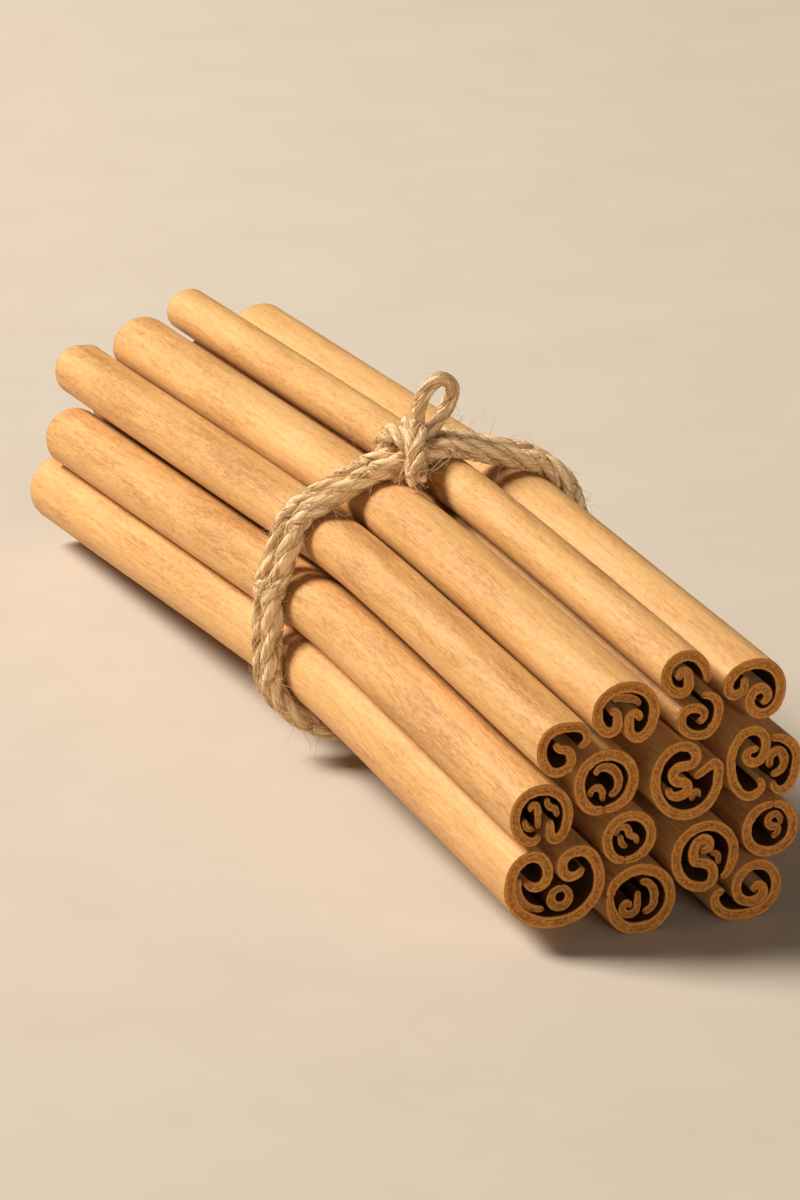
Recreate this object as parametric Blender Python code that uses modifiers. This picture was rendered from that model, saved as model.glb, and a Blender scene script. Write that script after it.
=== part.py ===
"""Bundle of cinnamon sticks tied with twine.

Frame: +X runs along the sticks towards their shown cut ends, +Z is up, and the
bundle lies on the plane z = 0 with the middle of its box above the origin.
Sizes below are in millimetres and become metres where the meshes are made.
"""

from math import cos, pi, radians, sin

import bmesh
import bpy
import numpy as np
from mathutils import Vector

MM = 0.001

# Driving dimensions
STICK_HALF = 75.0  # half of a stick's length, before each end's own reach
TIE_X = 12.5  # where the twine goes round
TIE_LEAN_Y = 0.28  # the twine's ring leans forward towards +Y
TIE_LEAN_Z = 0.25  # and backward towards its top
TIE_MIDDLE_Z = 15.0
WAIST = 0.97  # the bundle's width under the twine, as a share of its ends
WAIST_LIFT = 3.6  # the sticks stand this much higher under the twine
MIDDLE_Y = 0.27  # the bundle's own middle, in the outlines' numbers
TABLE_Z = -14.32  # the table, in the outlines' numbers
BARK_CLASS = {"thick": 1.25, "usual": 1.15, "thin": 1.05, "inner": 0.85, "scrap": 0.62}
TIP_SHARE = 0.7  # a sheet thins to this share of its bark at its edges
TIP_REACH = 2.0
GAP = 0.3  # clear space between pieces that touch
WELD = 0.001  # points of a tube nearer than this become one
QUARTER_STEPS = 4  # facets in each quarter turn of a sheet

TWINE_RADIUS = 1.2
TWINE_TURNS = 2
TWINE_PITCH = 2 * TWINE_RADIUS + GAP  # from one turn to the next, along the sticks
TURN_STEPS = 35  # points in each turn
# The knot lies between two places where the twine touches, in degrees from +Y over the top
KNOT_BETWEEN = (101.0, 111.0)
KNOT_SHARE = 0.4
KNOT_SIZE = (3.7, 3.0, 2.3)
KNOT_RISE = 1.3  # the knot's middle above the twine's
# From the knot's middle: a half bow that stands up, and a short end that lies forward
BOW_ROUTE = [(0.0, 0.8, 1.2), (0.0, 1.0, 3.9), (0.2, 1.8, 6.3), (0.0, 3.7, 7.6), (-0.1, 5.2, 6.4),
             (-0.2, 4.7, 4.2), (0.0, 3.0, 2.4), (0.0, 1.7, 0.9)]
BOW_RADIUS = 0.9
END_ROUTE = [(0.8, 0.0, -0.1), (3.0, -0.4, -0.4), (5.2, -0.9, -0.8)]
END_RADIUS = 1.1
ROUTE_STEPS = 3  # points between one place on these routes and the next

BARK_COLOUR = (0.62, 0.36, 0.155, 1.0)
CURL_COLOUR = (0.50, 0.26, 0.10, 1.0)
TWINE_COLOUR = (0.56, 0.44, 0.27, 1.0)


# A sheet's outline is a chain of quarter turns. Each point is a place where the
# sheet runs level or upright, and the first letter says which it is at the start.
# "line" goes straight on, and "part" stops short of its quarter by that share.
# Then come the front and rear reach beyond STICK_HALF, and the bark.
STICKS = {
    "stick_01": ("v", -0.3, -0.2, "usual",
                 [(6.6, 13.0), (4.2, 15.85), (1.8, 13.8), (3.6, 11.8), (4.4, 12.65),
                  ("line", 4.4, 13.4), (3.9, 14.2), (3.3, 13.6)]),
    "stick_02": ("h", 0.5, -3.7, "thin",
                 [(5.75, 11.55), (7.5, 9.95), (5.55, 7.2), (3.25, 8.8), (4.4, 10.3), (5.9, 9.4),
                  (5.3, 8.8)]),
    "stick_03": ("v", 0.0, -4.2, "usual",
                 [(10.8, 12.4), ("line", 10.8, 11.7), (9.7, 10.85), (8.9, 11.8), (12.2, 14.0),
                  (15.15, 11.0), (13.1, 8.3), (11.5, 9.7), (12.6, 11.2), (13.65, 10.2), (13.1, 9.7)]),
    "stick_04": ("h", -0.2, -2.7, "usual",
                 [(-4.55, 10.9), (-3.9, 10.2), ("line", -3.9, 9.5), (-4.8, 8.6), (-6.2, 10.6),
                  (-2.9, 13.45), (0.25, 10.6), (-1.55, 7.65), (-2.6, 8.8), ("line", -2.6, 9.7),
                  (-1.95, 10.4), (-1.5, 9.9)]),
    "stick_05": ("h", -0.3, 0.8, "thin",
                 [(-8.1, 7.6), (-7.4, 8.5), (-8.8, 9.75), ("line", -10.2, 9.8), (-12.6, 7.4),
                  (-10.7, 4.85), (-9.15, 6.15), (-10.0, 7.4), (-10.9, 8.0)]),
    "stick_06": ("h", 0.0, -1.2, "thick",
                 [(-5.3, 0.15), (-2.1, 3.3), (-5.3, 6.25), (-8.4, 3.2), (-6.3, 0.15),
                  ("line", -5.85, 0.15)]),
    "stick_07": ("v", 0.5, -3.2, "usual",
                 [(1.75, 1.45), (2.7, 0.65), (4.0, 1.4), (3.2, 2.2), (2.2, 3.1), (3.2, 3.95),
                  ("line", 4.1, 3.95), (5.0, 4.75), (3.3, 6.2), (0.2, 2.5), (3.9, -1.55), (7.55, 2.2),
                  ("line", 7.6, 3.0), (6.95, 3.8), ("line", 5.0, 2.7)]),
    "stick_08": ("h", 0.3, -0.7, "thin",
                 [(12.0, 4.75), (10.85, 4.05), (11.9, 3.2), (13.1, 5.2), (11.65, 6.85), (9.05, 3.2),
                  (11.4, -0.6), (12.75, 0.4), (12.4, 1.0)]),
    "stick_09": ("h", 0.2, -2.2, "thin", [(14.1, 5.6), (17.0, 3.0), (15.3, -0.55), (14.25, 0.4)]),
    "stick_10": ("v", 0.0, -3.7, "usual",
                 [(-11.6, -0.6), ("line", -11.6, -1.9), (-10.95, -2.5), (-9.55, 0.3), (-12.6, 3.15),
                  (-15.6, 0.3), (-13.7, -2.5), (-13.05, -2.0)]),
    "stick_11": ("h", 0.2, -0.7, "usual",
                 [(-2.9, -5.8), (-0.1, -3.25), (-2.6, -0.85), (-5.15, -3.35), (-3.4, -5.75)]),
    "stick_12": ("h", 0.7, -2.7, "usual",
                 [(5.9, -6.0), (6.7, -5.3), (5.8, -4.6), (4.7, -6.2), (5.4, -7.3), (7.1, -8.6),
                  ("line", 7.1, -9.0), (6.0, -10.1), (2.65, -6.6), (6.1, -3.15), (9.5, -6.5),
                  ("part", 6.2, -10.05, 0.55)]),
    "stick_13": ("h", 0.5, -1.7, "usual",
                 [(13.9, -1.9), (11.0, -4.6), (13.7, -7.15), (16.55, -4.5), (14.4, -1.9)]),
    "stick_14": ("v", 0.2, -0.2, "thick",
                 [(-14.15, -7.0), (-13.15, -7.5), (-11.95, -6.0), (-13.75, -4.0), (-16.35, -7.4),
                  (-11.05, -11.75), (-6.05, -7.6), (-8.4, -4.05), (-10.35, -5.5), (-9.3, -6.8),
                  (-8.2, -6.2)]),
    "stick_15": ("v", 0.5, -2.2, "thick",
                 [(-4.85, -10.0), (-1.4, -14.0), (2.15, -10.4), (-1.35, -7.05),
                  ("part", -4.85, -9.9, 0.92)]),
    "stick_16": ("h", 0.8, -1.2, "usual",
                 [(7.95, -10.8), (7.2, -11.6), (10.7, -14.1), (14.45, -10.9), (12.15, -8.35),
                  (9.7, -10.7), (11.35, -12.5), (12.9, -11.4), (12.3, -10.65), (11.8, -11.05)]),
}

# Smaller sheets rolled up inside the sticks
CURLS = {
    "curl_04": ("h", -0.6, -3.1, "inner", [(-4.0, 12.05), (-1.3, 11.2)]),
    "curl_06_a": ("v", -0.4, -1.6, "inner", [(-6.2, 4.2), (-5.4, 4.7), (-3.65, 2.9), (-4.5, 1.6)]),
    "curl_06_b": ("v", -0.6, -2.0, "scrap",
                  [(-6.85, 1.8), (-6.1, 2.45), (-5.45, 1.6), ("line", -5.45, 1.15)]),
    "curl_07": ("v", -0.3, -3.6, "scrap", [(4.85, -0.15), (5.3, 0.6), (5.65, 0.15)]),
    "curl_09": ("h", -0.3, -2.6, "inner",
                [(14.4, 1.3), (15.7, 2.6), (14.8, 3.85), (13.95, 2.8), ("line", 13.95, 2.4)]),
    "curl_10_a": ("v", -0.4, -4.1, "scrap",
                  [(-13.75, 1.1), (-13.25, 1.6), (-12.85, 0.7), ("line", -12.85, -0.9)]),
    "curl_10_b": ("v", -0.6, -4.5, "scrap", [(-14.3, -0.3), (-13.6, -1.2)]),
    "curl_10_c": ("v", -0.8, -4.3, "scrap", [(-11.8, 1.8), (-11.0, 0.8), (-10.7, 0.1)]),
    "curl_11_a": ("v", -0.4, -1.1, "scrap",
                  [(-3.9, -2.9), (-3.2, -2.3), (-2.5, -2.95), (-2.0, -3.5), (-1.55, -4.1)]),
    "curl_11_b": ("v", -0.6, -1.4, "scrap", [(-3.35, -3.5), (-2.75, -4.6)]),
    "curl_12": ("h", -0.3, -3.1, "scrap", [(7.3, -6.7), (8.1, -7.3), ("line", 8.1, -7.8)]),
    "curl_13": ("v", -0.3, -2.0, "scrap",
                [(15.4, -4.4), (14.75, -3.4), (13.9, -4.1), (14.6, -4.8), (15.15, -5.3),
                 (14.6, -5.8)]),
    "curl_14_a": ("v", -0.3, -0.5, "scrap",
                  [(-15.15, -6.7), ("line", -15.15, -7.6), (-12.5, -10.2)]),
    "curl_14_b": ("h", -0.1, -0.8, "thin",
                  [(-10.35, -8.25), (-11.37, -9.27), (-10.35, -10.29), (-9.33, -9.27),
                   (-10.2, -8.27)]),
    "curl_15_a": ("h", -0.3, -2.5, "inner", [(-0.8, -8.8), (0.6, -10.8), (-0.45, -12.2)]),
    "curl_15_b": ("v", -0.1, -2.9, "scrap",
                  [(-1.4, -10.0), ("line", -1.4, -11.7), (-2.4, -12.35), (-3.2, -11.6), (-2.7, -10.9),
                   (-2.3, -11.3)]),
}


def clear_scene():
    for old in list(bpy.data.objects):
        bpy.data.objects.remove(old, do_unlink=True)


def collection(name):
    made = bpy.data.collections.new(name)
    bpy.context.scene.collection.children.link(made)
    return made


def material(name, colour, roughness):
    made = bpy.data.materials.new(name)
    made.use_nodes = True
    shader = made.node_tree.nodes["Principled BSDF"]
    shader.inputs["Base Color"].default_value = colour
    shader.inputs["Roughness"].default_value = roughness
    return made


def sheet_line(first, points):
    """The sheet's middle line across the stick, as quarter turns between the points."""
    line = [np.array(points[0], float)]
    level = first == "h"
    for point in points[1:]:
        start = line[-1]
        if point[0] == "line":
            line.append(np.array(point[1:], float))
            continue
        share = 1.0
        if point[0] == "part":
            share = point[3]
            point = point[1:3]
        reach = np.array(point, float) - start
        steps = max(1, round(QUARTER_STEPS * share))
        for step in range(1, steps + 1):
            angle = share * step / steps * pi / 2
            ahead, aside = sin(angle), 1 - cos(angle)
            line.append(start + reach * (np.array((ahead, aside)) if level else np.array((aside, ahead))))
        level = not level
    return np.array(line) - (MIDDLE_Y, TABLE_Z)


def bundle_at(x):
    """How much the bundle is drawn in at x, and how much it stands off the table."""
    end = STICK_HALF if x > TIE_X else -STICK_HALF
    away = min(1.0, (x - TIE_X) / (end - TIE_X))
    return WAIST + (1 - WAIST) * away, WAIST_LIFT * (1 - away)


def placed(line, x, rest_height):
    """The line at x: drawn in about the bundle's foot, lifted, and pressed flat on the table."""
    size, lift = bundle_at(x)
    at_x = line * size
    at_x[:, 1] = np.maximum(at_x[:, 1] + lift, rest_height)
    return at_x


def rolled_sheet(name, first, front, rear, bark, points, material_used, parts):
    """One sheet of bark: its middle line at both ends and at the twine, made thick."""
    wall = BARK_CLASS[bark]
    line = sheet_line(first, points)
    stations = [STICK_HALF + front, TIE_X, -STICK_HALF - rear]
    mesh = bmesh.new()
    rows = []
    for x in stations:
        across = placed(line, x, wall / 2)
        rows.append([mesh.verts.new(Vector((x, y, z)) * MM) for y, z in across])
    for near, far in zip(rows, rows[1:]):
        for i in range(len(line) - 1):
            mesh.faces.new((near[i], near[i + 1], far[i + 1], far[i]))
    data = bpy.data.meshes.new(name)
    mesh.to_mesh(data)
    mesh.free()
    sheet = bpy.data.objects.new(name, data)
    parts.objects.link(sheet)
    data.materials.append(material_used)
    along = np.concatenate(([0.0], np.cumsum(np.linalg.norm(np.diff(line, axis=0), axis=1))))
    from_edge = np.minimum(along, along[-1] - along)
    edge = sheet.vertex_groups.new(name="bark")
    for i in range(len(line)):
        weight = min(1.0, from_edge[i] / TIP_REACH)
        edge.add([i + len(line) * row for row in range(len(stations))], float(weight), "REPLACE")
    thick = sheet.modifiers.new("bark", "SOLIDIFY")
    thick.thickness = wall * MM
    thick.offset = 0.0
    thick.use_even_offset = True
    thick.vertex_group = "bark"
    thick.thickness_vertex_group = TIP_SHARE


def tie_x(y, z):
    """Where the twine's leaning ring stands along the sticks."""
    return TIE_X + TIE_LEAN_Y * y - TIE_LEAN_Z * (z - TIE_MIDDLE_Z)


def sticks_reach(angle, x):
    """How far the sticks reach across at x in this direction, with the point that reaches it."""
    way = np.array((cos(angle), sin(angle)))
    best = None
    for first, front, rear, bark, points in STICKS.values():
        across = placed(sheet_line(first, points), x, 0.0)
        far = across @ way + BARK_CLASS[bark] / 2
        i = int(far.argmax())
        if best is None or far[i] > best[0]:
            best = (far[i], across[i] + way * BARK_CLASS[bark] / 2)
    return best[1], way


def ring_place(angle):
    """Where the twine's middle runs in this direction, at its own radius and gap from the sticks."""
    x = TIE_X
    for _ in range(2):
        touch, way = sticks_reach(angle, x)
        y, z = touch + way * (TWINE_RADIUS + GAP)
        x = tie_x(y, z)
    return np.array((x, y, z))


def twine_turns():
    """The twine's way round the bundle, as a list of places for each turn from the knot."""
    first, last = radians(KNOT_BETWEEN[1]), radians(KNOT_BETWEEN[0]) + 2 * pi
    ring = [ring_place(first + (last - first) * i / TURN_STEPS) for i in range(TURN_STEPS + 1)]
    knot = ring[-1] + KNOT_SHARE * (ring[0] - ring[-1])
    ring = [knot, *ring, knot]
    middle = TWINE_TURNS / 2
    turns = []
    for turn in range(TWINE_TURNS):
        shares = np.linspace(turn, turn + 1, len(ring))
        turns.append([place + (TWINE_PITCH * (middle - share), 0.0, 0.0)
                      for place, share in zip(ring, shares)])
    return turns


def smooth_route(points):
    """A smooth curve through hand-placed points."""
    points = [np.array(point, float) for point in points]
    points = [2 * points[0] - points[1]] + points + [2 * points[-1] - points[-2]]
    route = []
    for a, b, c, d in zip(points, points[1:], points[2:], points[3:]):
        for step in range(ROUTE_STEPS):
            t = step / ROUTE_STEPS
            bend = (2 * a - 5 * b + 4 * c - d) * t * t + (3 * b - a - 3 * c + d) * t ** 3
            route.append(0.5 * (2 * b + (c - a) * t + bend))
    route.append(points[-2])
    return route


def strand(name, points, radius):
    """A length of twine as a closed mesh tube."""
    curve = bpy.data.curves.new(name, "CURVE")
    curve.dimensions = "3D"
    curve.bevel_depth = radius * MM
    curve.bevel_resolution = 2
    curve.use_fill_caps = True
    spline = curve.splines.new("POLY")
    spline.points.add(len(points) - 1)
    for spot, point in zip(spline.points, points):
        spot.co = (*(Vector(point) * MM), 1.0)
    route = bpy.data.objects.new(name, curve)
    bpy.context.scene.collection.objects.link(route)
    graph = bpy.context.evaluated_depsgraph_get()
    data = bpy.data.meshes.new_from_object(route.evaluated_get(graph))
    bpy.data.objects.remove(route, do_unlink=True)
    welded = bmesh.new()
    welded.from_mesh(data)
    bmesh.ops.remove_doubles(welded, verts=welded.verts, dist=WELD * MM)
    bmesh.ops.recalc_face_normals(welded, faces=welded.faces)
    welded.to_mesh(data)
    welded.free()
    return bpy.data.objects.new(name, data)


def knot_lump(centre):
    """The pulled-tight knot, as a squashed ball."""
    data = bpy.data.meshes.new("knot")
    ball = bmesh.new()
    bmesh.ops.create_uvsphere(ball, u_segments=14, v_segments=8, radius=1.0)
    bmesh.ops.scale(ball, vec=Vector(KNOT_SIZE) * MM, verts=ball.verts)
    bmesh.ops.translate(ball, vec=Vector(centre) * MM, verts=ball.verts)
    ball.to_mesh(data)
    ball.free()
    return bpy.data.objects.new("knot", data)


def tied_twine(material_used, parts, guides):
    """One length of twine: two turns round the sticks, joined at the knot, a half bow and its end."""
    first, second = twine_turns()
    knot = second[0] + (0.0, 0.0, KNOT_RISE)
    twine_tie = strand("twine_tie", first + second[1:], TWINE_RADIUS)
    twine_tie.data.materials.clear()
    twine_tie.data.materials.append(material_used)
    parts.objects.link(twine_tie)
    added = [
        knot_lump(knot),
        strand("bow", smooth_route(np.array(BOW_ROUTE) + knot), BOW_RADIUS),
        strand("short_end", smooth_route(np.array(END_ROUTE) + knot), END_RADIUS),
    ]
    for piece in added:
        guides.objects.link(piece)
        piece.hide_render = True
        piece.display_type = "WIRE"
        join = twine_tie.modifiers.new(piece.name, "BOOLEAN")
        join.operation = "UNION"
        join.object = piece
        join.use_self = True  # the bow's two ends cross inside the knot


clear_scene()
parts = collection("cinnamon_bundle")
guides = collection("joined_into_twine")
bark = material("bark", BARK_COLOUR, 0.62)
curled = material("inner_bark", CURL_COLOUR, 0.70)
twine = material("twine", TWINE_COLOUR, 0.85)

for stick, sizes in STICKS.items():
    rolled_sheet(stick, *sizes, bark, parts)
for curl, sizes in CURLS.items():
    rolled_sheet(curl, *sizes, curled, parts)
tied_twine(twine, parts, guides)
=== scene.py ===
from math import ceil, cos, hypot, pi, radians, sin

import bpy
import numpy as np
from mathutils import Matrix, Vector


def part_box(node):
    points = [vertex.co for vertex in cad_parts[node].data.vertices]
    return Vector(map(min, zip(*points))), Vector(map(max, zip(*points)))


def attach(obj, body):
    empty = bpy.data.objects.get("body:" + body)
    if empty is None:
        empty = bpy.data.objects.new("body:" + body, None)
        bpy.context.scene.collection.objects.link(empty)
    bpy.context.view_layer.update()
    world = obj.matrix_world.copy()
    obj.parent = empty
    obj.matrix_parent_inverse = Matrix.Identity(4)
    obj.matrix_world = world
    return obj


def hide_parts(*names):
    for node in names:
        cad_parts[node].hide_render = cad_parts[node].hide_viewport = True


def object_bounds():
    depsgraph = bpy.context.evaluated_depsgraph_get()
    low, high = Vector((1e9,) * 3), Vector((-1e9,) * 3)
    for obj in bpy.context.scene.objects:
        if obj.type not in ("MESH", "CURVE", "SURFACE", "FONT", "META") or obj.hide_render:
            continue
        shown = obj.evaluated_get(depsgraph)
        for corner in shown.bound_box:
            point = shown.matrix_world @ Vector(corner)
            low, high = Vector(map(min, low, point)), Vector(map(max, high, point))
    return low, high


# The bundle's frame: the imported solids, in metres, on the plane z = 0, with the
# shown cut ends towards +X. Every size below is in millimetres until its mesh is made.
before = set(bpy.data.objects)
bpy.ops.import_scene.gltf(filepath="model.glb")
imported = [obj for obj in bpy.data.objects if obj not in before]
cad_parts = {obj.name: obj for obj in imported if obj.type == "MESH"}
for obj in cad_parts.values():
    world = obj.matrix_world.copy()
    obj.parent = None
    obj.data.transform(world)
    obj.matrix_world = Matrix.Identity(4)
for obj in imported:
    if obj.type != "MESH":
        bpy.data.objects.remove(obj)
cad_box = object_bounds()
MM = 0.001


# ---------------------------------------------------------------------------
# The sticks. Each is one sheet of dried inner bark, scraped smooth, that rolled
# itself up from both long edges as it dried, and was then cut to length. Its
# outside is light tan with fine fibres along it, and its cut ends are darker.
# ---------------------------------------------------------------------------
MIDDLE_Y = 0.27  # the bundle's own middle, in the outlines' numbers
TABLE_Z = -14.32  # the table, in the outlines' numbers
STICK_HALF = 75.0  # the cut ends lie about this far from x = 0
TIE_X = 12.5  # where the twine goes round
WAIST = 0.97  # the bundle's width under the twine, as a share of its ends
WAIST_LIFT = 3.6  # how far the sticks are lifted under the twine
QUARTER_POINTS = 14  # in each quarter turn of a sheet
BARK_CLASS = {"thick": 1.3, "usual": 1.2, "thin": 1.1, "inner": 1.1, "scrap": 0.95}

# Each outline is a chain of quarter turns between the places where the sheet runs
# level or upright. The first letter says which it does at the start. "line" goes
# straight on, and "part" turns only that share of its quarter.
STICKS = {
    "stick_01": ("v", "usual", [
        (6.6, 13.0), (4.2, 15.85), (1.8, 13.8), (3.6, 11.8), (4.4, 12.65), ("line", 4.4, 13.4),
        (3.9, 14.2), (3.3, 13.6)]),
    "stick_02": ("h", "thin", [
        (5.75, 11.55), (7.5, 9.95), (5.55, 7.2), (3.25, 8.8), (4.4, 10.3), (5.9, 9.4), (5.3, 8.8)]),
    "stick_03": ("v", "usual", [
        (10.8, 12.4), ("line", 10.8, 11.7), (9.7, 10.85), (8.9, 11.8), (12.2, 14.0), (15.15, 11.0),
        (13.1, 8.3), (11.5, 9.7), (12.6, 11.2), (13.65, 10.2), (13.1, 9.7)]),
    "stick_04": ("h", "usual", [
        (-4.55, 10.9), (-3.9, 10.2), ("line", -3.9, 9.5), (-4.8, 8.6), (-6.2, 10.6), (-2.9, 13.45),
        (0.25, 10.6), (-1.55, 7.65), (-2.6, 8.8), ("line", -2.6, 9.7), (-1.95, 10.4), (-1.5, 9.9)]),
    "stick_05": ("h", "thin", [
        (-8.1, 7.6), (-7.4, 8.5), (-8.8, 9.75), ("line", -10.2, 9.8), (-12.6, 7.4), (-10.7, 4.85),
        (-9.15, 6.15), (-10.0, 7.4), (-10.9, 8.0)]),
    "stick_06": ("h", "thick", [
        (-5.3, 0.15), (-2.1, 3.3), (-5.3, 6.25), (-8.4, 3.2), (-6.3, 0.15), ("line", -5.85, 0.15)]),
    "stick_07": ("v", "usual", [
        (1.75, 1.45), (2.7, 0.65), (4.0, 1.4), (3.2, 2.2), (2.2, 3.1), (3.2, 3.95),
        ("line", 4.1, 3.95), (5.0, 4.75), (3.3, 6.2), (0.2, 2.5), (3.9, -1.55), (7.55, 2.2),
        ("line", 7.6, 3.0), (6.95, 3.8), ("line", 5.0, 2.7)]),
    "stick_08": ("h", "thin", [
        (12.0, 4.75), (10.85, 4.05), (11.9, 3.2), (13.1, 5.2), (11.65, 6.85), (9.05, 3.2),
        (11.4, -0.6), (12.75, 0.4), (12.4, 1.0)]),
    "stick_09": ("h", "thin", [(14.1, 5.6), (17.0, 3.0), (15.3, -0.55), (14.25, 0.4)]),
    "stick_10": ("v", "usual", [
        (-11.6, -0.6), ("line", -11.6, -1.9), (-10.95, -2.5), (-9.55, 0.3), (-12.6, 3.15),
        (-15.6, 0.3), (-13.7, -2.5), (-13.05, -2.0)]),
    "stick_11": ("h", "usual", [
        (-2.9, -5.8), (-0.1, -3.25), (-2.6, -0.85), (-5.15, -3.35), (-3.4, -5.75)]),
    "stick_12": ("h", "usual", [
        (5.9, -6.0), (6.7, -5.3), (5.8, -4.6), (4.7, -6.2), (5.4, -7.3), (7.1, -8.6),
        ("line", 7.1, -9.0), (6.0, -10.1), (2.65, -6.6), (6.1, -3.15), (9.5, -6.5),
        ("part", 6.2, -10.05, 0.55)]),
    "stick_13": ("h", "usual", [
        (13.9, -1.9), (11.0, -4.6), (13.7, -7.15), (16.55, -4.5), (14.4, -1.9)]),
    "stick_14": ("v", "thick", [
        (-14.15, -7.0), (-13.15, -7.5), (-11.95, -6.0), (-13.75, -4.0), (-16.35, -7.4),
        (-11.05, -11.75), (-6.05, -7.6), (-8.4, -4.05), (-10.35, -5.5), (-9.3, -6.8),
        (-8.2, -6.2)]),
    "stick_15": ("v", "thick", [
        (-4.85, -10.0), (-1.4, -14.0), (2.15, -10.4), (-1.35, -7.05), ("part", -4.85, -9.9, 0.92)]),
    "stick_16": ("h", "usual", [
        (7.95, -10.8), (7.2, -11.6), (10.7, -14.1), (14.45, -10.9), (12.15, -8.35), (9.7, -10.7),
        (11.35, -12.5), (12.9, -11.4), (12.3, -10.65), (11.8, -11.05)]),
}


def sheet_line(first, points):
    """The sheet's middle line across the stick, as quarter turns between the points."""
    line = [np.array(points[0], float)]
    level = first == "h"
    for point in points[1:]:
        start = line[-1]
        if point[0] == "line":
            line.append(np.array(point[1:], float))
            continue
        share = 1.0
        if point[0] == "part":
            share = point[3]
            point = point[1:3]
        reach = np.array(point, float) - start
        for step in range(1, QUARTER_POINTS + 1):
            angle = share * step / QUARTER_POINTS * pi / 2
            ahead, aside = sin(angle), 1 - cos(angle)
            turn = (ahead, aside) if level else (aside, ahead)
            line.append(start + reach * np.array(turn))
        level = not level
    return np.array(line) - (MIDDLE_Y, TABLE_Z)


class Field:
    """A socket of a node tree, written as a value in plain arithmetic."""

    def __init__(self, net, socket):
        self.net = net
        self.socket = socket

    def math(self, operation, *others):
        settings = {"operation": operation}
        return self.net.add("ShaderNodeMath", settings, dict(enumerate((self, *others))))

    def __add__(self, other):
        return self.math("ADD", other)

    __radd__ = __add__

    def __mul__(self, other):
        return self.math("MULTIPLY", other)

    __rmul__ = __mul__

    def __sub__(self, other):
        return self.math("SUBTRACT", other)

    def __rsub__(self, other):
        return self.net.add("ShaderNodeMath", {"operation": "SUBTRACT"}, {0: other, 1: self})

    def __truediv__(self, other):
        return self.math("DIVIDE", other)

    def __pow__(self, other):
        return self.math("POWER", other)

    def __abs__(self):
        return self.math("ABSOLUTE")

    def min(self, other):
        return self.math("MINIMUM", other)

    def max(self, other):
        return self.math("MAXIMUM", other)

    def above(self, other):
        return self.math("GREATER_THAN", other)

    def between(self, low, high):
        """0 up to low, 1 from high, and smooth in between."""
        return self.net.add("ShaderNodeMapRange", {"interpolation_type": "SMOOTHSTEP"},
                            {"Value": self, "From Min": low, "From Max": high})


class Net:
    """A node tree, and the one way in which nodes are added to it."""

    def __init__(self, tree):
        self.tree = tree

    def add(self, kind, settings=None, sockets=None, out=0):
        """One node: its settings first, then the values or links of its sockets."""
        node = self.tree.nodes.new(kind)
        for name, value in (settings or {}).items():
            if name == "stops":
                self.set_stops(node.color_ramp, value)
            else:
                setattr(node, name, value)
        for name, value in (sockets or {}).items():
            if isinstance(value, Field):
                self.tree.links.new(value.socket, node.inputs[name])
            else:
                node.inputs[name].default_value = value
        return Field(self, node.outputs[out]) if node.outputs else node

    @staticmethod
    def set_stops(ramp, stops):
        """The ramp's colours, each at its place."""
        while len(ramp.elements) < len(stops):
            ramp.elements.new(1.0)
        for element, (place, colour) in zip(ramp.elements, stops):
            element.position = place
            element.color = (*colour, 1.0)

    def other(self, field, name):
        """Another output of the node that a field comes from."""
        return Field(self, field.socket.node.outputs[name])

    def vector(self, x, y, z):
        return self.add("ShaderNodeCombineXYZ", None, {0: x, 1: y, 2: z})

    def parts(self, vector):
        """The three numbers of a vector."""
        x = self.add("ShaderNodeSeparateXYZ", None, {0: vector})
        return x, self.other(x, "Y"), self.other(x, "Z")

    def vmath(self, operation, *vectors):
        settings = {"operation": operation}
        return self.add("ShaderNodeVectorMath", settings, dict(enumerate(vectors)))

    def scaled(self, vector, factor):
        return self.add("ShaderNodeVectorMath", {"operation": "SCALE"},
                        {"Vector": vector, "Scale": factor})

    def noise(self, vector, detail=2.0, roughness=0.5):
        """Smooth noise about 0.5."""
        return self.add("ShaderNodeTexNoise", {"noise_dimensions": "3D"},
                        {"Vector": vector, "Scale": 1.0, "Detail": detail, "Roughness": roughness})

    def mix(self, factor, first, second):
        """A colour between two others."""
        return self.add("ShaderNodeMix", {"data_type": "RGBA"}, {0: factor, 6: first, 7: second},
                        out=2)

    def ramp(self, value, *stops):
        return self.add("ShaderNodeValToRGB", {"stops": stops}, {0: value})

    def read(self, name, out):
        """An attribute in a material: output 1 is its vector and 2 its number."""
        return self.add("ShaderNodeAttribute", {"attribute_name": name}, None, out=out)

    def store(self, geometry, name, kind, value):
        return self.add("GeometryNodeStoreNamedAttribute", {"data_type": kind},
                        {"Geometry": geometry, "Name": name, "Value": value})

    def joined(self, *geometries):
        made = self.add("GeometryNodeJoinGeometry")
        for geometry in geometries:
            self.tree.links.new(geometry.socket, made.socket.node.inputs[0])
        return made


def geometry_tree(name, sizes):
    """An empty Geometry Nodes tree with named inputs, and those inputs as fields."""
    tree = bpy.data.node_groups.new(name, "GeometryNodeTree")
    tree.is_modifier = True
    for in_out in ("OUTPUT", "INPUT"):
        tree.interface.new_socket(name="Geometry", in_out=in_out,
                                  socket_type="NodeSocketGeometry")
    for size, kind in sizes.items():
        tree.interface.new_socket(name=size, in_out="INPUT", socket_type="NodeSocket" + kind)
    net = Net(tree)
    entry = tree.nodes.new("NodeGroupInput")
    return net, {socket.name: Field(net, socket) for socket in entry.outputs if socket.name}


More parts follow.
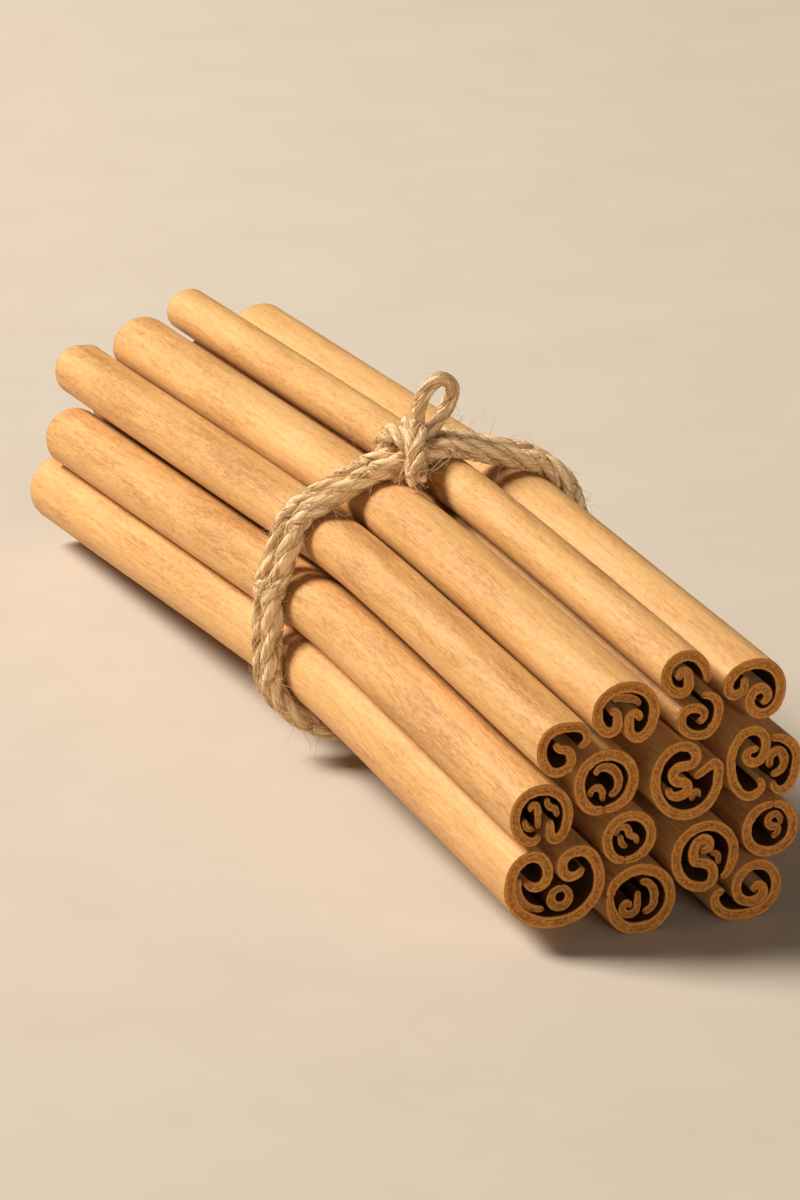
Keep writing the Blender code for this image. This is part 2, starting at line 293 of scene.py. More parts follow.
def end_tree(net, geometry, material_field):
    """Every tree ends alike: smooth real meshes, with their material."""
    real = net.add("GeometryNodeRealizeInstances", None, {"Geometry": geometry})
    smooth = net.add("GeometryNodeSetShadeSmooth", None, {"Geometry": real})
    finished = net.add("GeometryNodeSetMaterial", None,
                       {"Geometry": smooth, "Material": material_field})
    way_out = net.tree.nodes.new("NodeGroupOutput")
    net.tree.links.new(finished.socket, way_out.inputs[0])


def grown(name, host_mesh, tree, sizes):
    """A plain mesh object that a tree makes from a host mesh with these sizes."""
    host = bpy.data.objects.new(name + "_host", host_mesh)
    bpy.context.scene.collection.objects.link(host)
    nodes = host.modifiers.new("shape", "NODES")
    nodes.node_group = tree
    for item in tree.interface.items_tree:
        if item.item_type == "SOCKET" and item.in_out == "INPUT" and item.name in sizes:
            nodes[item.identifier] = sizes[item.name]
    bpy.context.view_layer.update()
    graph = bpy.context.evaluated_depsgraph_get()
    made = bpy.data.meshes.new_from_object(host.evaluated_get(graph))
    made.name = name
    bpy.data.objects.remove(host, do_unlink=True)
    piece = bpy.data.objects.new(name, made)
    bpy.context.scene.collection.objects.link(piece)
    return piece


def route_mesh(name, *routes):
    """Chains of edges through each route's points, which a tree takes as its paths."""
    points = [tuple(point) for route in routes for point in route]
    edges = []
    first = 0
    for route in routes:
        edges += [(i, i + 1) for i in range(first, first + len(route) - 1)]
        first += len(route)
    mesh = bpy.data.meshes.new(name)
    mesh.from_pydata(points, edges, [])
    return mesh


# The bark as a solid sheet: a box of points is bent along the middle line, which
# makes its outside, its inside, both cut ends and both long edges in one.
ROW_STEP = 0.22  # between points across the sheet
ROWS_ALONG = 96
END_CROWDING = 0.9  # the points stand this much closer together at the cut ends
WALL_LAYERS = 7
WAIST_ROUND = 9.0  # the bend of the sticks under the twine
ENDS_Z = 14.0  # the middle of the cut ends
REST_ROUND = 0.5  # how softly the lowest sheets flatten on the table
CUT_ZONE = 0.09  # the share of the stick that moves with its cut end
TIP_SHARE = 0.72  # a sheet thins to this share of its thickness at its long edges
TIP_REACH = 2.0  # over this distance
TIP_NOSE = 0.9  # how round the long edges are
WAVE = 0.26  # how far a sheet wanders from its smooth roll
RIPPLE = 0.05
WALL_CHANGE = 0.22  # the bark's uneven thickness
CUT_DEPTH = 0.8  # the deepest chips in a cut end
CUT_GRAIN = 0.28  # how rough it is between them
CUT_PROUD = 0.06  # how far it stands out at most
CUT_ASKEW = 0.03  # its steepest slope, in each of two directions
GRAIN_PER_MM = 2.6
CHIPS_PER_MM = 0.62
CHIP_NOISE = (0.52, 0.78)  # the noise at which a chip begins and is deepest
SKIN_DEPTH = 0.95  # only the outermost layers ripple
SEED_SPREAD = 7.31  # takes each sheet to its own place in the noise
ENDS_APART = 40.0  # and each of its ends to another
ONE_ROW = 0.0001  # nearer to the box's side than any row but the last

net, size = geometry_tree("rolled_bark", {
    "Wall": "Float", "Front": "Float", "Rear": "Float", "Outer Side": "Float", "Seed": "Float",
    "Tilt Y": "Float", "Tilt Z": "Float", "Rows Across": "Int", "Material": "Material"})
path = net.add("GeometryNodeMeshToCurve", None, {"Mesh": size["Geometry"]})
path_length = net.add("GeometryNodeCurveLength", None, {"Curve": path})
block = net.add("GeometryNodeMeshCube", None, {
    "Size": (1.0, 1.0, 1.0), "Vertices X": ROWS_ALONG, "Vertices Y": size["Rows Across"],
    "Vertices Z": WALL_LAYERS})
box_x, box_y, box_z = net.parts(net.add("GeometryNodeInputPosition"))
step_along = box_x + 0.5
crowded = step_along - (step_along * (2 * pi)).math("SINE") * (END_CROWDING / (2 * pi))
depth = box_z * 2.0
outward = depth * size["Outer Side"]
across = (box_y + 0.5) * path_length
from_edge = across.min(path_length - across)
seeded = size["Seed"] * SEED_SPREAD

# where the sheet runs, and which way it faces
on_path = net.add("GeometryNodeSampleCurve", {"mode": "LENGTH", "use_all_curves": True},
                  {"Curves": path, "Length": across}, out=1)
_, turn_y, turn_z = net.parts(net.vmath("NORMALIZE", net.other(on_path, "Tangent")))
_, middle_y, middle_z = net.parts(on_path)

# the cut ends: each a little askew, grained all over and chipped at the rims
end_sign = box_x.math("SIGN")
end_place = net.vector(seeded + end_sign * ENDS_APART, across, depth * size["Wall"] * 0.5)
grain = net.noise(net.scaled(end_place, GRAIN_PER_MM), 3.0, 0.6) - 0.5
chips = net.noise(net.scaled(end_place, CHIPS_PER_MM), 2.0).between(*CHIP_NOISE)
rim = abs(depth) ** 4.0
rough_cut = grain * CUT_GRAIN + (chips * 0.6 + rim * 0.25) * CUT_DEPTH * (0.35 + grain)
askew = middle_y * size["Tilt Y"] + (middle_z - ENDS_Z) * size["Tilt Z"]
from_end = (0.5 - abs(box_x)).between(0.0, CUT_ZONE)
straight = size["Rear"] + crowded * (size["Front"] - size["Rear"])
at_x = straight - end_sign * (1.0 - from_end) * (rough_cut.max(-CUT_PROUD) + abs(askew))

# the bundle is drawn in and lifted at the twine
from_tie = at_x - TIE_X
arm = (from_tie * from_tie + WAIST_ROUND ** 2).math("SQRT") - WAIST_ROUND
far_front, far_rear = [hypot(half, WAIST_ROUND) - WAIST_ROUND
                       for half in (STICK_HALF - TIE_X, STICK_HALF + TIE_X)]
is_front = from_tie.above(0.0)
away = (arm / (is_front * far_front + (1.0 - is_front) * far_rear)).min(1.0)
drawn = WAIST + (1 - WAIST) * away
lift = WAIST_LIFT * (1.0 - away)

# the sheet wanders, ripples, changes thickness and thins to round edges
wander = net.noise(net.vector(at_x * 0.022 + seeded, across * 0.16, seeded), 1.0) - 0.5
ripple = net.noise(net.vector(at_x * 0.05 + seeded, across * 1.1, depth * 0.6)) - 0.5
change = net.noise(net.vector(at_x * 0.03, across * 0.35 + seeded, 4.0)) - 0.5
thinned = TIP_SHARE + (1 - TIP_SHARE) * (from_edge / TIP_REACH).min(1.0)
half_wall = size["Wall"] * 0.5 * (thinned + change * WALL_CHANGE)
nose = (1.0 - depth * depth) * half_wall * TIP_NOSE
at_edge = box_y.math("SIGN") * (0.5 - abs(box_y)).math("LESS_THAN", ONE_ROW)
on_skin = depth.math("SIGN") * abs(depth).above(SKIN_DEPTH)
offset = wander * WAVE + depth * half_wall + ripple * RIPPLE * on_skin
final_y = middle_y * drawn - turn_z * offset + turn_y * nose * at_edge
above_rest = middle_z * drawn + lift - size["Wall"] * 0.5 + REST_ROUND / 2
rested_z = (above_rest + (above_rest * above_rest + REST_ROUND ** 2).math("SQRT")) * 0.5
rested_z = rested_z + size["Wall"] * 0.5 - REST_ROUND / 2
final_z = rested_z + turn_y * offset + turn_z * nose * at_edge
final = net.scaled(net.vector(at_x, final_y, final_z.max(0.0)), MM)

is_cut = (0.5 - abs(box_x)).math("LESS_THAN", ONE_ROW)
grained = net.vector(at_x + seeded * 9.0, across + seeded * 3.0, outward * half_wall)
marked = net.store(block, "grain", "FLOAT_VECTOR", grained)
marked = net.store(marked, "place", "FLOAT_VECTOR", net.vector(is_cut, outward, 0.0))
marked = net.store(marked, "tone", "FLOAT", (size["Seed"] * 0.618).math("FRACT"))
bent = net.add("GeometryNodeSetPosition", None, {"Geometry": marked, "Position": final})
end_tree(net, bent, size["Material"])
ROLLED_BARK = net.tree


# How close the marks of the bark stand, for each millimetre along the stick, across it and
# through the bark
FIGURE = (0.035, 0.34, 0.3)
STREAKS = (0.16, 2.2, 1.0)
FIBRES = (0.7, 8.0, 2.0)
DASHES = (0.8, 6.5, 2.0)
PORES = (1.7, 7.0, 2.0)
SWAY = 1.1  # how far the fibres sway from a straight run
LINES_PER_MM = 7.0
SHADES = (0.36, 0.48, 0.61)  # where the dark, middle and light bark begin
CUT_SHADES = (0.36, 0.50, 0.68)
BUMP_HEIGHT = 0.00016


def bark_material(name, light, middle, dark, inside, cut_light, cut_middle, cut_dark):
    """Scraped bark: fibres along the stick outside, raw wood at the cut, and within a near-black
    brown that is painted shade of the hollows over the bark's own browner inside.
    """
    made = bpy.data.materials.new(name)
    made.use_nodes = True
    made.node_tree.nodes.clear()
    net = Net(made.node_tree)
    at_x, across, through = net.parts(net.read("grain", 1))
    is_cut, outward, _ = net.parts(net.read("place", 1))
    tone = net.read("tone", 2)
    waver = net.noise(net.vector(at_x * 0.06, across * 0.22, through)) - 0.5
    swayed = across + waver * SWAY

    def marks(closeness, detail, roughness=0.5):
        """Noise drawn out along the fibres."""
        along, aside, inward = closeness
        place = net.vector(at_x * along, swayed * aside, through * inward)
        return net.noise(place, detail, roughness)

    figure = marks(FIGURE, 2.0)
    streaks = marks(STREAKS, 4.0, 0.6)
    fibres = marks(FIBRES, 3.0, 0.6)
    dashes = marks(DASHES, 2.0).between(0.58, 0.72)
    pores = marks(PORES, 1.0).between(0.64, 0.76)
    lines = ((swayed * LINES_PER_MM + figure * 26.0).math("SINE") * 0.5 + 0.5) ** 4.0

    # the outside of the sheet, and its inside, whose near-black colour is painted shade of the
    # hollow over the bark's own browner colour
    shade = figure * 0.30 + streaks * 0.30 + fibres * 0.40 + (tone - 0.5) * 0.08
    skin = net.ramp(shade, *zip(SHADES, (dark, middle, light)))
    skin = net.mix(dashes * 0.20 + pores * 0.20 + lines * streaks * 0.3, skin, (*dark, 1.0))
    lighter_inside_shade = [part * 1.5 for part in inside]
    within = net.mix(fibres, (*inside, 1.0), (*lighter_inside_shade, 1.0))
    sheet = net.mix(outward.between(-0.35, 0.35), within, skin)

    # the cut, in layers and specks, with a lighter line near each side
    specks = net.noise(net.vector(across * 3.2, through * 4.0, at_x * 0.9), 4.0, 0.7)
    layers = net.noise(net.vector(across * 0.5, through * 5.5, at_x * 0.2), 3.0, 0.6)
    cut = net.ramp(specks * 0.65 + layers * 0.35,
                   *zip(CUT_SHADES, (cut_dark, cut_middle, cut_light)))
    edge = abs(outward)
    rim = edge.between(0.42, 0.72) * (1.0 - edge.between(0.85, 1.0) * 0.6)
    cut = net.mix(rim * 0.5, cut, (*cut_light, 1.0))

    height = (streaks * 0.4 + fibres * 0.4 - dashes * 0.3) * (1.0 - is_cut) + specks * 1.5 * is_cut
    bump = net.add("ShaderNodeBump", None,
                   {"Strength": 0.5, "Distance": BUMP_HEIGHT, "Height": height})
    shader = net.add("ShaderNodeBsdfPrincipled", None, {
        "Base Color": net.mix(is_cut, sheet, cut), "Normal": bump,
        "Roughness": 0.5 + fibres * 0.16 + is_cut * 0.25, "Specular IOR Level": 0.32})
    net.add("ShaderNodeOutputMaterial", None, {"Surface": shader})
    return made


# the inside colour is near black: painted shade of the hollows, over the browner colour of the
# bark's inner face
BARK = bark_material("scraped bark", light=(0.77, 0.455, 0.18), middle=(0.66, 0.35, 0.118),
                     dark=(0.42, 0.19, 0.058), inside=(0.06, 0.021, 0.006),
                     cut_light=(0.67, 0.29, 0.058), cut_middle=(0.37, 0.135, 0.019),
                     cut_dark=(0.12, 0.037, 0.006))


def turning(line):
    """The sense in which the sheet rolls: above zero when its left side is the inside."""
    ahead = np.diff(line, axis=0)
    return float(np.sum(ahead[:-1, 0] * ahead[1:, 1] - ahead[:-1, 1] * ahead[1:, 0]))


def rolled_sheet(node, first, wall_class, points, material, seed):
    """The finished sheet for one CAD node, between that node's own cut ends."""
    line = sheet_line(first, points)
    length = float(np.sum(np.linalg.norm(np.diff(line, axis=0), axis=1)))
    low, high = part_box(node)
    tilt_y, tilt_z = np.random.default_rng(seed).uniform(-CUT_ASKEW, CUT_ASKEW, 2)
    path = route_mesh(node + "_line", [(0.0, y, z) for y, z in line])
    piece = grown("bark_" + node, path, ROLLED_BARK, {
        "Wall": BARK_CLASS[wall_class], "Front": high.x / MM, "Rear": low.x / MM,
        "Outer Side": -1.0 if turning(line) > 0 else 1.0, "Seed": float(seed),
        "Tilt Y": float(tilt_y), "Tilt Z": float(tilt_z),
        "Rows Across": ceil(length / ROW_STEP), "Material": material})
    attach(piece, "root")
    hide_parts(node)


for number, (stick, (first, wall_class, points)) in enumerate(STICKS.items(), 1):
    rolled_sheet(stick, first, wall_class, points, BARK, number)


# ---------------------------------------------------------------------------
# The inner curls. Thinner scraps and narrower sheets of the same bark are rolled
# up inside the sticks when they are made, and friction alone holds them there.
# Little light reaches them: their near-black colours below are painted shade, laid over bark that
# is browner than the scraped outside.
# ---------------------------------------------------------------------------
CURLS = {
    "curl_04": ("h", "inner", [(-4.0, 12.05), (-1.3, 11.2)]),
    "curl_06_a": ("v", "inner", [(-6.2, 4.2), (-5.4, 4.7), (-3.65, 2.9), (-4.5, 1.6)]),
    "curl_06_b": ("v", "scrap", [(-6.85, 1.8), (-6.1, 2.45), (-5.45, 1.6), ("line", -5.45, 1.15)]),
    "curl_07": ("v", "scrap", [(4.85, -0.15), (5.3, 0.6), (5.65, 0.15)]),
    "curl_09": ("h", "inner", [
        (14.4, 1.3), (15.7, 2.6), (14.8, 3.85), (13.95, 2.8), ("line", 13.95, 2.4)]),
    "curl_10_a": ("v", "scrap", [
        (-13.75, 1.1), (-13.25, 1.6), (-12.85, 0.7), ("line", -12.85, -0.9)]),
    "curl_10_b": ("v", "scrap", [(-14.3, -0.3), (-13.6, -1.2)]),
    "curl_10_c": ("v", "scrap", [(-11.8, 1.8), (-11.0, 0.8), (-10.7, 0.1)]),
    "curl_11_a": ("v", "scrap", [
        (-3.9, -2.9), (-3.2, -2.3), (-2.5, -2.95), (-2.0, -3.5), (-1.55, -4.1)]),
    "curl_11_b": ("v", "scrap", [(-3.35, -3.5), (-2.75, -4.6)]),
    "curl_12": ("h", "scrap", [(7.3, -6.7), (8.1, -7.3), ("line", 8.1, -7.8)]),
    "curl_13": ("v", "scrap", [
        (15.4, -4.4), (14.75, -3.4), (13.9, -4.1), (14.6, -4.8), (15.15, -5.3), (14.6, -5.8)]),
    "curl_14_a": ("v", "scrap", [(-15.15, -6.7), ("line", -15.15, -7.6), (-12.5, -10.2)]),
    "curl_14_b": ("h", "thin", [
        (-10.35, -8.25), (-11.37, -9.27), (-10.35, -10.29), (-9.33, -9.27), (-10.2, -8.27)]),
    "curl_15_a": ("h", "inner", [(-0.8, -8.8), (0.6, -10.8), (-0.45, -12.2)]),
    "curl_15_b": ("v", "scrap", [
        (-1.4, -10.0), ("line", -1.4, -11.7), (-2.4, -12.35), (-3.2, -11.6), (-2.7, -10.9),
        (-2.3, -11.3)]),
}

# the curls' outside and inside colours are near black: painted shade of the hollows they sit in,
# over the browner unscraped bark
INNER_BARK_IN_SHADE = bark_material("inner bark", light=(0.16, 0.06, 0.017), middle=(0.11, 0.038, 0.01),
                           dark=(0.06, 0.02, 0.005), inside=(0.05, 0.017, 0.004),
                           cut_light=(0.60, 0.26, 0.052), cut_middle=(0.33, 0.12, 0.017),
                           cut_dark=(0.11, 0.034, 0.005))
FIRST_CURL_SEED = 31
for number, (curl, (first, wall_class, points)) in enumerate(CURLS.items(), FIRST_CURL_SEED):
    rolled_sheet(curl, first, wall_class, points, INNER_BARK_IN_SHADE, number)


# ---------------------------------------------------------------------------
# The twine. One length of rough three-ply plant-fibre twine goes twice round the
# sticks and is pulled into a knot on top. One end is left in it as a half bow,
# and the other crosses over the knot and is cut short. Its fibres stick out.
# ---------------------------------------------------------------------------
TIE_LEAN_Y = 0.28  # the twine's ring leans towards +X on its +Y side
TIE_LEAN_Z = 0.25  # and towards -X at its top
TIE_MIDDLE_Z = 15.0  # the height at which it doesn't
KNOT_BETWEEN = (101.0, 111.0)  # the knot lies between these degrees, from +Y over the top
KNOT_SHARE = 0.4  # where between them its middle is
KNOT_RISE = 0.9  # its middle above the twine's
TWINE_RADIUS = 1.28
TWINE_GAP = 0.1  # between the twine and the bark
TURN_OFFSET = 1.4  # each turn's middle from the tie's own middle
TURN_STEPS = 88
SAG = 0.12  # the turns are not drawn perfectly straight
PARTING = 0.45  # the turns lie this much further apart behind the knot
PARTING_ANGLE = 50.0

# From the knot's middle: the end that goes twice round the turns, and the half bow
CROSSING = [(1.8, -1.9, -2.7), (-2.3, -1.9, -2.6), (-3.6, -1.8, -1.1), (-2.7, -1.6, 0.8),
            (-0.4, -1.3, 1.6), (2.2, -0.9, 0.9), (3.4, -0.5, -1.1), (1.6, 0.1, -2.8),
            (-2.1, 0.6, -2.7), (-3.7, 0.8, -0.9), (-3.0, 0.9, 1.2), (-0.7, 0.8, 2.3),
            (1.8, 0.3, 1.9), (3.5, -0.5, 0.5), (5.0, -1.3, -0.9), (6.3, -2.0, -2.0)]
BOW = [(0.0, 0.6, -0.6), (0.0, 0.9, 1.6), (0.0, 1.0, 4.0), (0.2, 1.8, 6.3), (0.0, 3.7, 7.6),
       (-0.1, 5.2, 6.4), (-0.2, 4.7, 4.2), (0.0, 3.1, 2.3), (0.0, 1.9, 0.4), (0.3, 1.0, -0.8)]
CROSSING_GIRTH = 0.92  # pulled thinner than the turns
BOW_GIRTH = 0.68
FRAY_AT_END = (0.35, 1.0)  # how open the cut end is at its last points

stick_lines = [(sheet_line(first, points), BARK_CLASS[wall_class] / 2)
               for first, wall_class, points in STICKS.values()]


def twine_reach(angle, x):
    """The twine's middle in this direction round the sticks, as drawn in at x."""
    far = far_front if x > TIE_X else far_rear
    away = (hypot(x - TIE_X, WAIST_ROUND) - WAIST_ROUND) / far
    way = np.array((cos(angle), sin(angle)))
    reached = []
    for line, half_wall in stick_lines:
        across = line * (WAIST + (1 - WAIST) * away) + (0.0, WAIST_LIFT * (1 - away))
        ahead = across @ way
        reached.append((ahead.max() + half_wall, across[ahead.argmax()] + way * half_wall))
    return max(reached, key=lambda found: found[0])[1] + way * (TWINE_RADIUS + TWINE_GAP)


def twine_turn(offset, phase):
    """One turn round the bundle, from under the knot and back to it."""
    first, last = radians(KNOT_BETWEEN[1]), radians(KNOT_BETWEEN[0]) + 2 * pi
    turn = []
    for angle in np.linspace(first, last, TURN_STEPS + 1):
        y, z = twine_reach(angle, TIE_X)
        x = TIE_X + TIE_LEAN_Y * y - TIE_LEAN_Z * (z - TIE_MIDDLE_Z)
        y, z = twine_reach(angle, x)
        sag = SAG * (sin(3 * angle + phase) + sin(5 * angle + 2 * phase))
        apart = 1 + PARTING * max(0.0, cos(angle - radians(PARTING_ANGLE))) ** 2
        turn.append(np.array((x + offset * apart + sag, y, z)))
    knot = turn[-1] + KNOT_SHARE * (turn[0] - turn[-1])
    return [knot, *turn, knot]


turns = [twine_turn(TURN_OFFSET, 0.4), twine_turn(-TURN_OFFSET, 2.1)]
knot = twine_turn(0.0, 0.0)[0] + (0.0, 0.0, KNOT_RISE)
routes = [*turns, np.array(CROSSING) + knot, np.array(BOW) + knot]
girths = [1.0, 1.0, CROSSING_GIRTH, BOW_GIRTH]

TWINE_STEP = 0.4
PLIES = 3
PLY_PITCH = 10.0  # along the twine, for one turn of its plies
PLY_OFFSET = 0.66
PLY_RADIUS = 0.64
PLY_SIDES = 14
PLY_TWIST = 0.9  # how steeply the fibres lie in a ply
PLY_STRAY = 0.5  # how unevenly the plies are wound
FIBRE_DEPTH = 0.14
LOOSE_FIBRES = 12  # the fibres that lie free on the twine
LOOSE_RADIUS = 0.05
LOOSE_SIDES = 3
LOOSE_STRAY = 3.0  # and the loose fibres
HAIR_RADIUS = 0.034
HAIRS_PER_AREA = 0.6  # for each square millimetre of the plies
HAIR_LENGTHS = (0.5, 4.4)
HAIR_LIFT = 0.75  # the share of straight up in a hair's direction, against chance
HAIR_CURL = 2.0
HAIR_ROOM = 0.3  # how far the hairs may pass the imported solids
HAIR_SEED = 5
FRAY = 0.7  # how far the cut end opens


def twine_mesh():
    """The paths of the twine, with how thick each is and where its cut end opens."""
    mesh = route_mesh("twine_paths", *routes)
    girth = [value for route, value in zip(routes, girths) for _ in route]
    fray = [0.0] * len(girth)
    end = sum(len(route) for route in routes[:3])
    fray[end - len(FRAY_AT_END):end] = FRAY_AT_END
    for name, values in (("girth", girth), ("fray", fray)):
        mesh.attributes.new(name, "FLOAT", "POINT").data.foreach_set("value", values)
    return mesh


net, size = geometry_tree("plied_twine", {
    "Low": "Vector", "High": "Vector", "Seed": "Int", "Material": "Material"})
paths = net.add("GeometryNodeMeshToCurve", None, {"Mesh": size["Geometry"]})
paths = net.add("GeometryNodeCurveSplineType", {"spline_type": "CATMULL_ROM"}, {"Curve": paths})
paths = net.add("GeometryNodeResampleCurve", {"mode": "LENGTH"},
                {"Curve": paths, "Length": TWINE_STEP})
girth, fray, along = [net.add("GeometryNodeInputNamedAttribute", {"data_type": "FLOAT"},
                              {"Name": name}) for name in ("girth", "fray", "along")]
paths = net.store(paths, "along", "FLOAT",
                  net.other(net.add("GeometryNodeSplineParameter"), "Length"))


def wound(copies, radius, strays):
    """Copies of the paths, wound round them as the plies are."""
    several = net.add("GeometryNodeDuplicateElements", {"domain": "SPLINE"},
                      {"Geometry": paths, "Amount": copies})
    number = net.other(several, "Duplicate Index")
    several = net.store(several, "number", "FLOAT", number)
    stray = net.noise(net.vector(along * 0.22, number * 5.3, copies)) - 0.5
    swell = net.noise(net.vector(along * 0.5, number * 3.1, copies)) - 0.5
    angle = along * (2 * pi / PLY_PITCH) + number * (2 * pi / copies) + stray * strays
    reach = radius * girth * (1.0 + fray * FRAY) * (1.0 + swell * 0.2)
    normal = net.add("GeometryNodeInputNormal")
    side = net.vmath("CROSS_PRODUCT", net.add("GeometryNodeInputTangent"), normal)
    out = net.vmath("ADD", net.scaled(normal, angle.math("COSINE") * reach),
                    net.scaled(side, angle.math("SINE") * reach))
    return net.add("GeometryNodeSetPosition", None, {"Geometry": several, "Offset": out})


def tubes(curves, radius, sides):
    """The curves as tubes, which remember the place round each of them."""
    profile = net.add("GeometryNodeCurvePrimitiveCircle", {"mode": "RADIUS"},
                      {"Resolution": sides, "Radius": 1.0})
    spot = net.add("GeometryNodeSplineParameter")
    profile = net.store(profile, "round", "FLOAT", spot * (2 * pi))
    return net.add("GeometryNodeCurveToMesh", None, {
        "Curve": curves, "Profile Curve": profile, "Scale": radius, "Fill Caps": True})


# the plies, with the fibres as ridges
plies = tubes(wound(PLIES, PLY_OFFSET, PLY_STRAY), girth * PLY_RADIUS * (1.0 - fray * 0.35),
              PLY_SIDES)
number, around = [net.add("GeometryNodeInputNamedAttribute", {"data_type": "FLOAT"},
                          {"Name": name}) for name in ("number", "round")]
fibre_angle = around + along * PLY_TWIST
ridges = net.noise(net.vector(fibre_angle.math("COSINE") * 2.2, fibre_angle.math("SINE") * 2.2,
                              along * 0.3 + number * 9.0), 2.0) - 0.5
plies = net.add("GeometryNodeSetPosition", None, {
    "Geometry": plies,
    "Offset": net.scaled(net.add("GeometryNodeInputNormal"), ridges * FIBRE_DEPTH * girth)})

# the loose fibres, and the hairs that stand off
loose = tubes(wound(LOOSE_FIBRES, PLY_OFFSET + PLY_RADIUS * 0.9, LOOSE_STRAY), LOOSE_RADIUS,
              LOOSE_SIDES)
roots = net.add("GeometryNodeDistributePointsOnFaces", None,
                {"Mesh": plies, "Density": HAIRS_PER_AREA, "Seed": size["Seed"]})
root_normal = net.other(roots, "Normal")


def chance(low, high, seed):
    """A random number for each hair."""
    return net.add("FunctionNodeRandomValue", {"data_type": "FLOAT"},
                   {2: low, 3: high, "Seed": seed}, out=1)


heading = net.vmath("NORMALIZE", net.vmath(
    "ADD", net.scaled(root_normal, HAIR_LIFT),
    net.vector(chance(-1.0, 1.0, 1), chance(-1.0, 1.0, 2), chance(-1.0, 1.0, 3))))
short, long = HAIR_LENGTHS
hair_length = short + (long - short) * chance(0.0, 1.0, 4) ** 3.0
for low, high, place, way in zip(net.parts(size["Low"]), net.parts(size["High"]),
                                 net.parts(net.add("GeometryNodeInputPosition")),
                                 net.parts(heading)):
    room = (high - place) * way.above(0.0) + (place - low) * (1.0 - way.above(0.0))
    hair_length = hair_length.min(room / abs(way).max(0.05))
hair = net.add("GeometryNodeMeshCone", None, {
    "Vertices": 3, "Side Segments": 4, "Radius Top": 0.3, "Radius Bottom": 1.0, "Depth": 1.0})
_, _, up_hair = net.parts(net.add("GeometryNodeInputPosition"))
hair = net.store(hair, "up hair", "FLOAT", up_hair)
turned = net.add("FunctionNodeAlignRotationToVector", {"axis": "Z"}, {"Vector": heading})
hairs = net.add("GeometryNodeInstanceOnPoints", None, {
    "Points": roots, "Instance": hair, "Rotation": turned,
    "Scale": net.vector(HAIR_RADIUS, HAIR_RADIUS, hair_length)})
hairs = net.add("GeometryNodeRealizeInstances", None, {"Geometry": hairs})
up_hair = net.add("GeometryNodeInputNamedAttribute", {"data_type": "FLOAT"}, {"Name": "up hair"})
curl = net.other(net.noise(net.scaled(net.add("GeometryNodeInputPosition"), 0.55), 1.0), "Color")
curl = net.scaled(net.vmath("SUBTRACT", curl, (0.5, 0.5, 0.5)), up_hair * HAIR_CURL)
hairs = net.add("GeometryNodeSetPosition", None, {"Geometry": hairs, "Offset": curl})

# nothing reaches under the table
at_x, at_y, at_z = net.parts(net.add("GeometryNodeInputPosition"))
on_table = net.add("GeometryNodeSetPosition", None, {
    "Geometry": net.joined(plies, loose, hairs), "Position": net.vector(at_x, at_y, at_z.max(0.0))})
whole = net.add("GeometryNodeTransform", None, {"Geometry": on_table, "Scale": (MM, MM, MM)})
end_tree(net, whole, size["Material"])
PLIED_TWINE = net.tree

TWINE = bpy.data.materials.new("twine")
TWINE.use_nodes = True
TWINE.node_tree.nodes.clear()
net = Net(TWINE.node_tree)
along, number, around, up_hair = [net.read(name, 2)
                                  for name in ("along", "number", "round", "up hair")]
fibre_angle = around + along * PLY_TWIST
ring_x, ring_y = fibre_angle.math("COSINE"), fibre_angle.math("SINE")
strands = net.noise(net.vector(ring_x * 3.4, ring_y * 3.4, along * 0.35 + number * 9.0), 3.0, 0.6)
patches = net.noise(net.vector(ring_x * 0.7, ring_y * 0.7, along * 0.25 + number * 5.0), 2.0)
colour = net.ramp(strands * 0.65 + patches * 0.35, (0.38, (0.34, 0.185, 0.068)),
                  (0.48, (0.77, 0.505, 0.25)), (0.59, (0.94, 0.73, 0.45)))
colour = net.mix(up_hair.above(0.0), colour, (0.80, 0.61, 0.38, 1.0))
bump = net.add("ShaderNodeBump", None, {"Strength": 0.6, "Distance": 0.0001, "Height": strands})
shader = net.add("ShaderNodeBsdfPrincipled", None, {
    "Base Color": colour, "Roughness": 0.8, "Normal": bump, "Specular IOR Level": 0.25})
net.add("ShaderNodeOutputMaterial", None, {"Surface": shader})

box_low, box_high = [np.array(corner) / MM for corner in cad_box]
room = np.array((HAIR_ROOM, HAIR_ROOM, HAIR_ROOM))
twine = grown("twine", twine_mesh(), PLIED_TWINE, {
    "Low": tuple(float(v) for v in box_low - room * (1, 1, 0)),
    "High": tuple(float(v) for v in box_high + room), "Seed": HAIR_SEED,
    "Material": TWINE})
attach(twine, "root")
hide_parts("twine_tie")


# ---------------------------------------------------------------------------
# The floor, the light and the camera. None of them is part of the object, and
# their sizes are in metres.
# ---------------------------------------------------------------------------
FLOOR_HALF = 4.0
MOTTLE_PER_METRE = 60.0

PALE_FLOOR = bpy.data.materials.new("pale floor")
PALE_FLOOR.use_nodes = True
PALE_FLOOR.node_tree.nodes.clear()
net = Net(PALE_FLOOR.node_tree)
mottle = net.noise(net.scaled(net.add("ShaderNodeTexCoord", None, None, out=3), MOTTLE_PER_METRE),
                   5.0, 0.6)
colour = net.mix(mottle, (0.56, 0.48, 0.39, 1.0), (0.63, 0.55, 0.455, 1.0))
shader = net.add("ShaderNodeBsdfPrincipled", None, {"Base Color": colour, "Roughness": 0.75})
net.add("ShaderNodeOutputMaterial", None, {"Surface": shader})

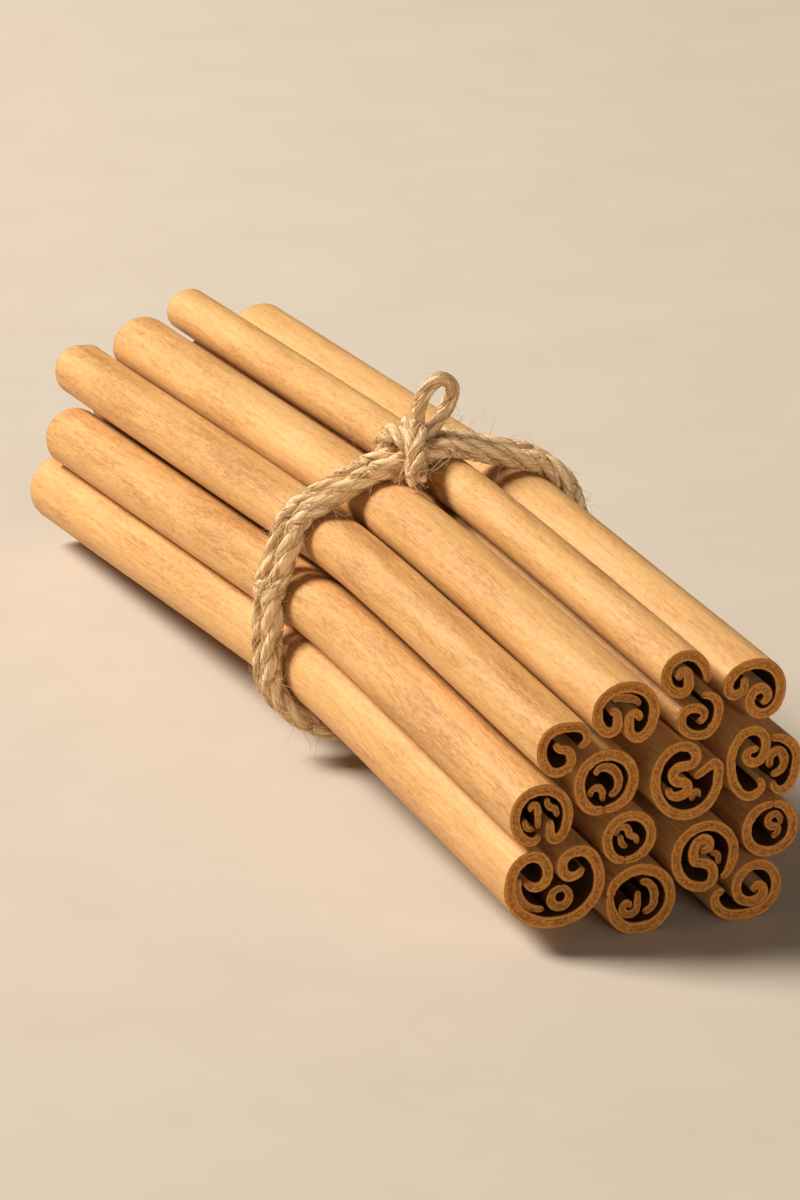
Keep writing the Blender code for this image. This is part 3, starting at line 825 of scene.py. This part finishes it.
corners = [(-FLOOR_HALF, -FLOOR_HALF, 0), (FLOOR_HALF, -FLOOR_HALF, 0),
           (FLOOR_HALF, FLOOR_HALF, 0), (-FLOOR_HALF, FLOOR_HALF, 0)]
floor_mesh = bpy.data.meshes.new("floor")
floor_mesh.from_pydata(corners, [], [(0, 1, 2, 3)])
floor_mesh.materials.append(PALE_FLOOR)
floor = bpy.data.objects.new("floor", floor_mesh)
bpy.context.scene.collection.objects.link(floor)

VIEW_AROUND = radians(65.5)
VIEW_DOWN = radians(20.3)
VIEW_REACH = 0.75
ENDS_MIDDLE = Vector((STICK_HALF, -MIDDLE_Y, -TABLE_Z)) * MM
AIM = Vector((4.0, 0.0, 15.0)) * MM
towards = Vector((sin(VIEW_AROUND) * cos(VIEW_DOWN), -cos(VIEW_AROUND) * cos(VIEW_DOWN),
                  sin(VIEW_DOWN)))
to_right = Vector((cos(VIEW_AROUND), sin(VIEW_AROUND), 0.0))
to_rear = Vector((-sin(VIEW_AROUND), cos(VIEW_AROUND), 0.0))


def placed_facing(name, data, place, target):
    """A lamp or camera at its place, with its -Z turned to a target."""
    made = bpy.data.objects.new(name, data)
    made.location = place
    made.rotation_euler = (target - place).to_track_quat("-Z", "Y").to_euler()
    bpy.context.scene.collection.objects.link(made)
    return made


def area_light(name, right, rear, up, breadth, power, colour):
    """A soft square lamp, placed as seen from the camera and aimed at the bundle."""
    lamp = bpy.data.lights.new(name, "AREA")
    lamp.size = breadth
    lamp.energy = power
    lamp.color = colour
    placed_facing(name, lamp, AIM + to_right * right + to_rear * rear + Vector((0, 0, up)), AIM)


camera_data = bpy.data.cameras.new("camera")
camera_data.sensor_fit = "HORIZONTAL"
camera_data.sensor_width = 36.0
camera_data.lens = 318.0
camera_data.clip_start = 0.01
bpy.context.scene.camera = placed_facing("camera", camera_data,
                                         ENDS_MIDDLE + towards * VIEW_REACH, AIM)

area_light("key", -0.88, 0.25, 0.94, 0.5, 28.5, (1.0, 0.945, 0.875))
area_light("fill", 0.5, -1.1, 0.14, 0.5, 6.8, (1.0, 0.91, 0.80))

world = bpy.data.worlds.new("studio")
bpy.context.scene.world = world
world.use_nodes = True
world.node_tree.nodes["Background"].inputs["Color"].default_value = (0.95, 0.83, 0.68, 1.0)
world.node_tree.nodes["Background"].inputs["Strength"].default_value = 0.08
bpy.context.scene.view_settings.view_transform = "Standard"
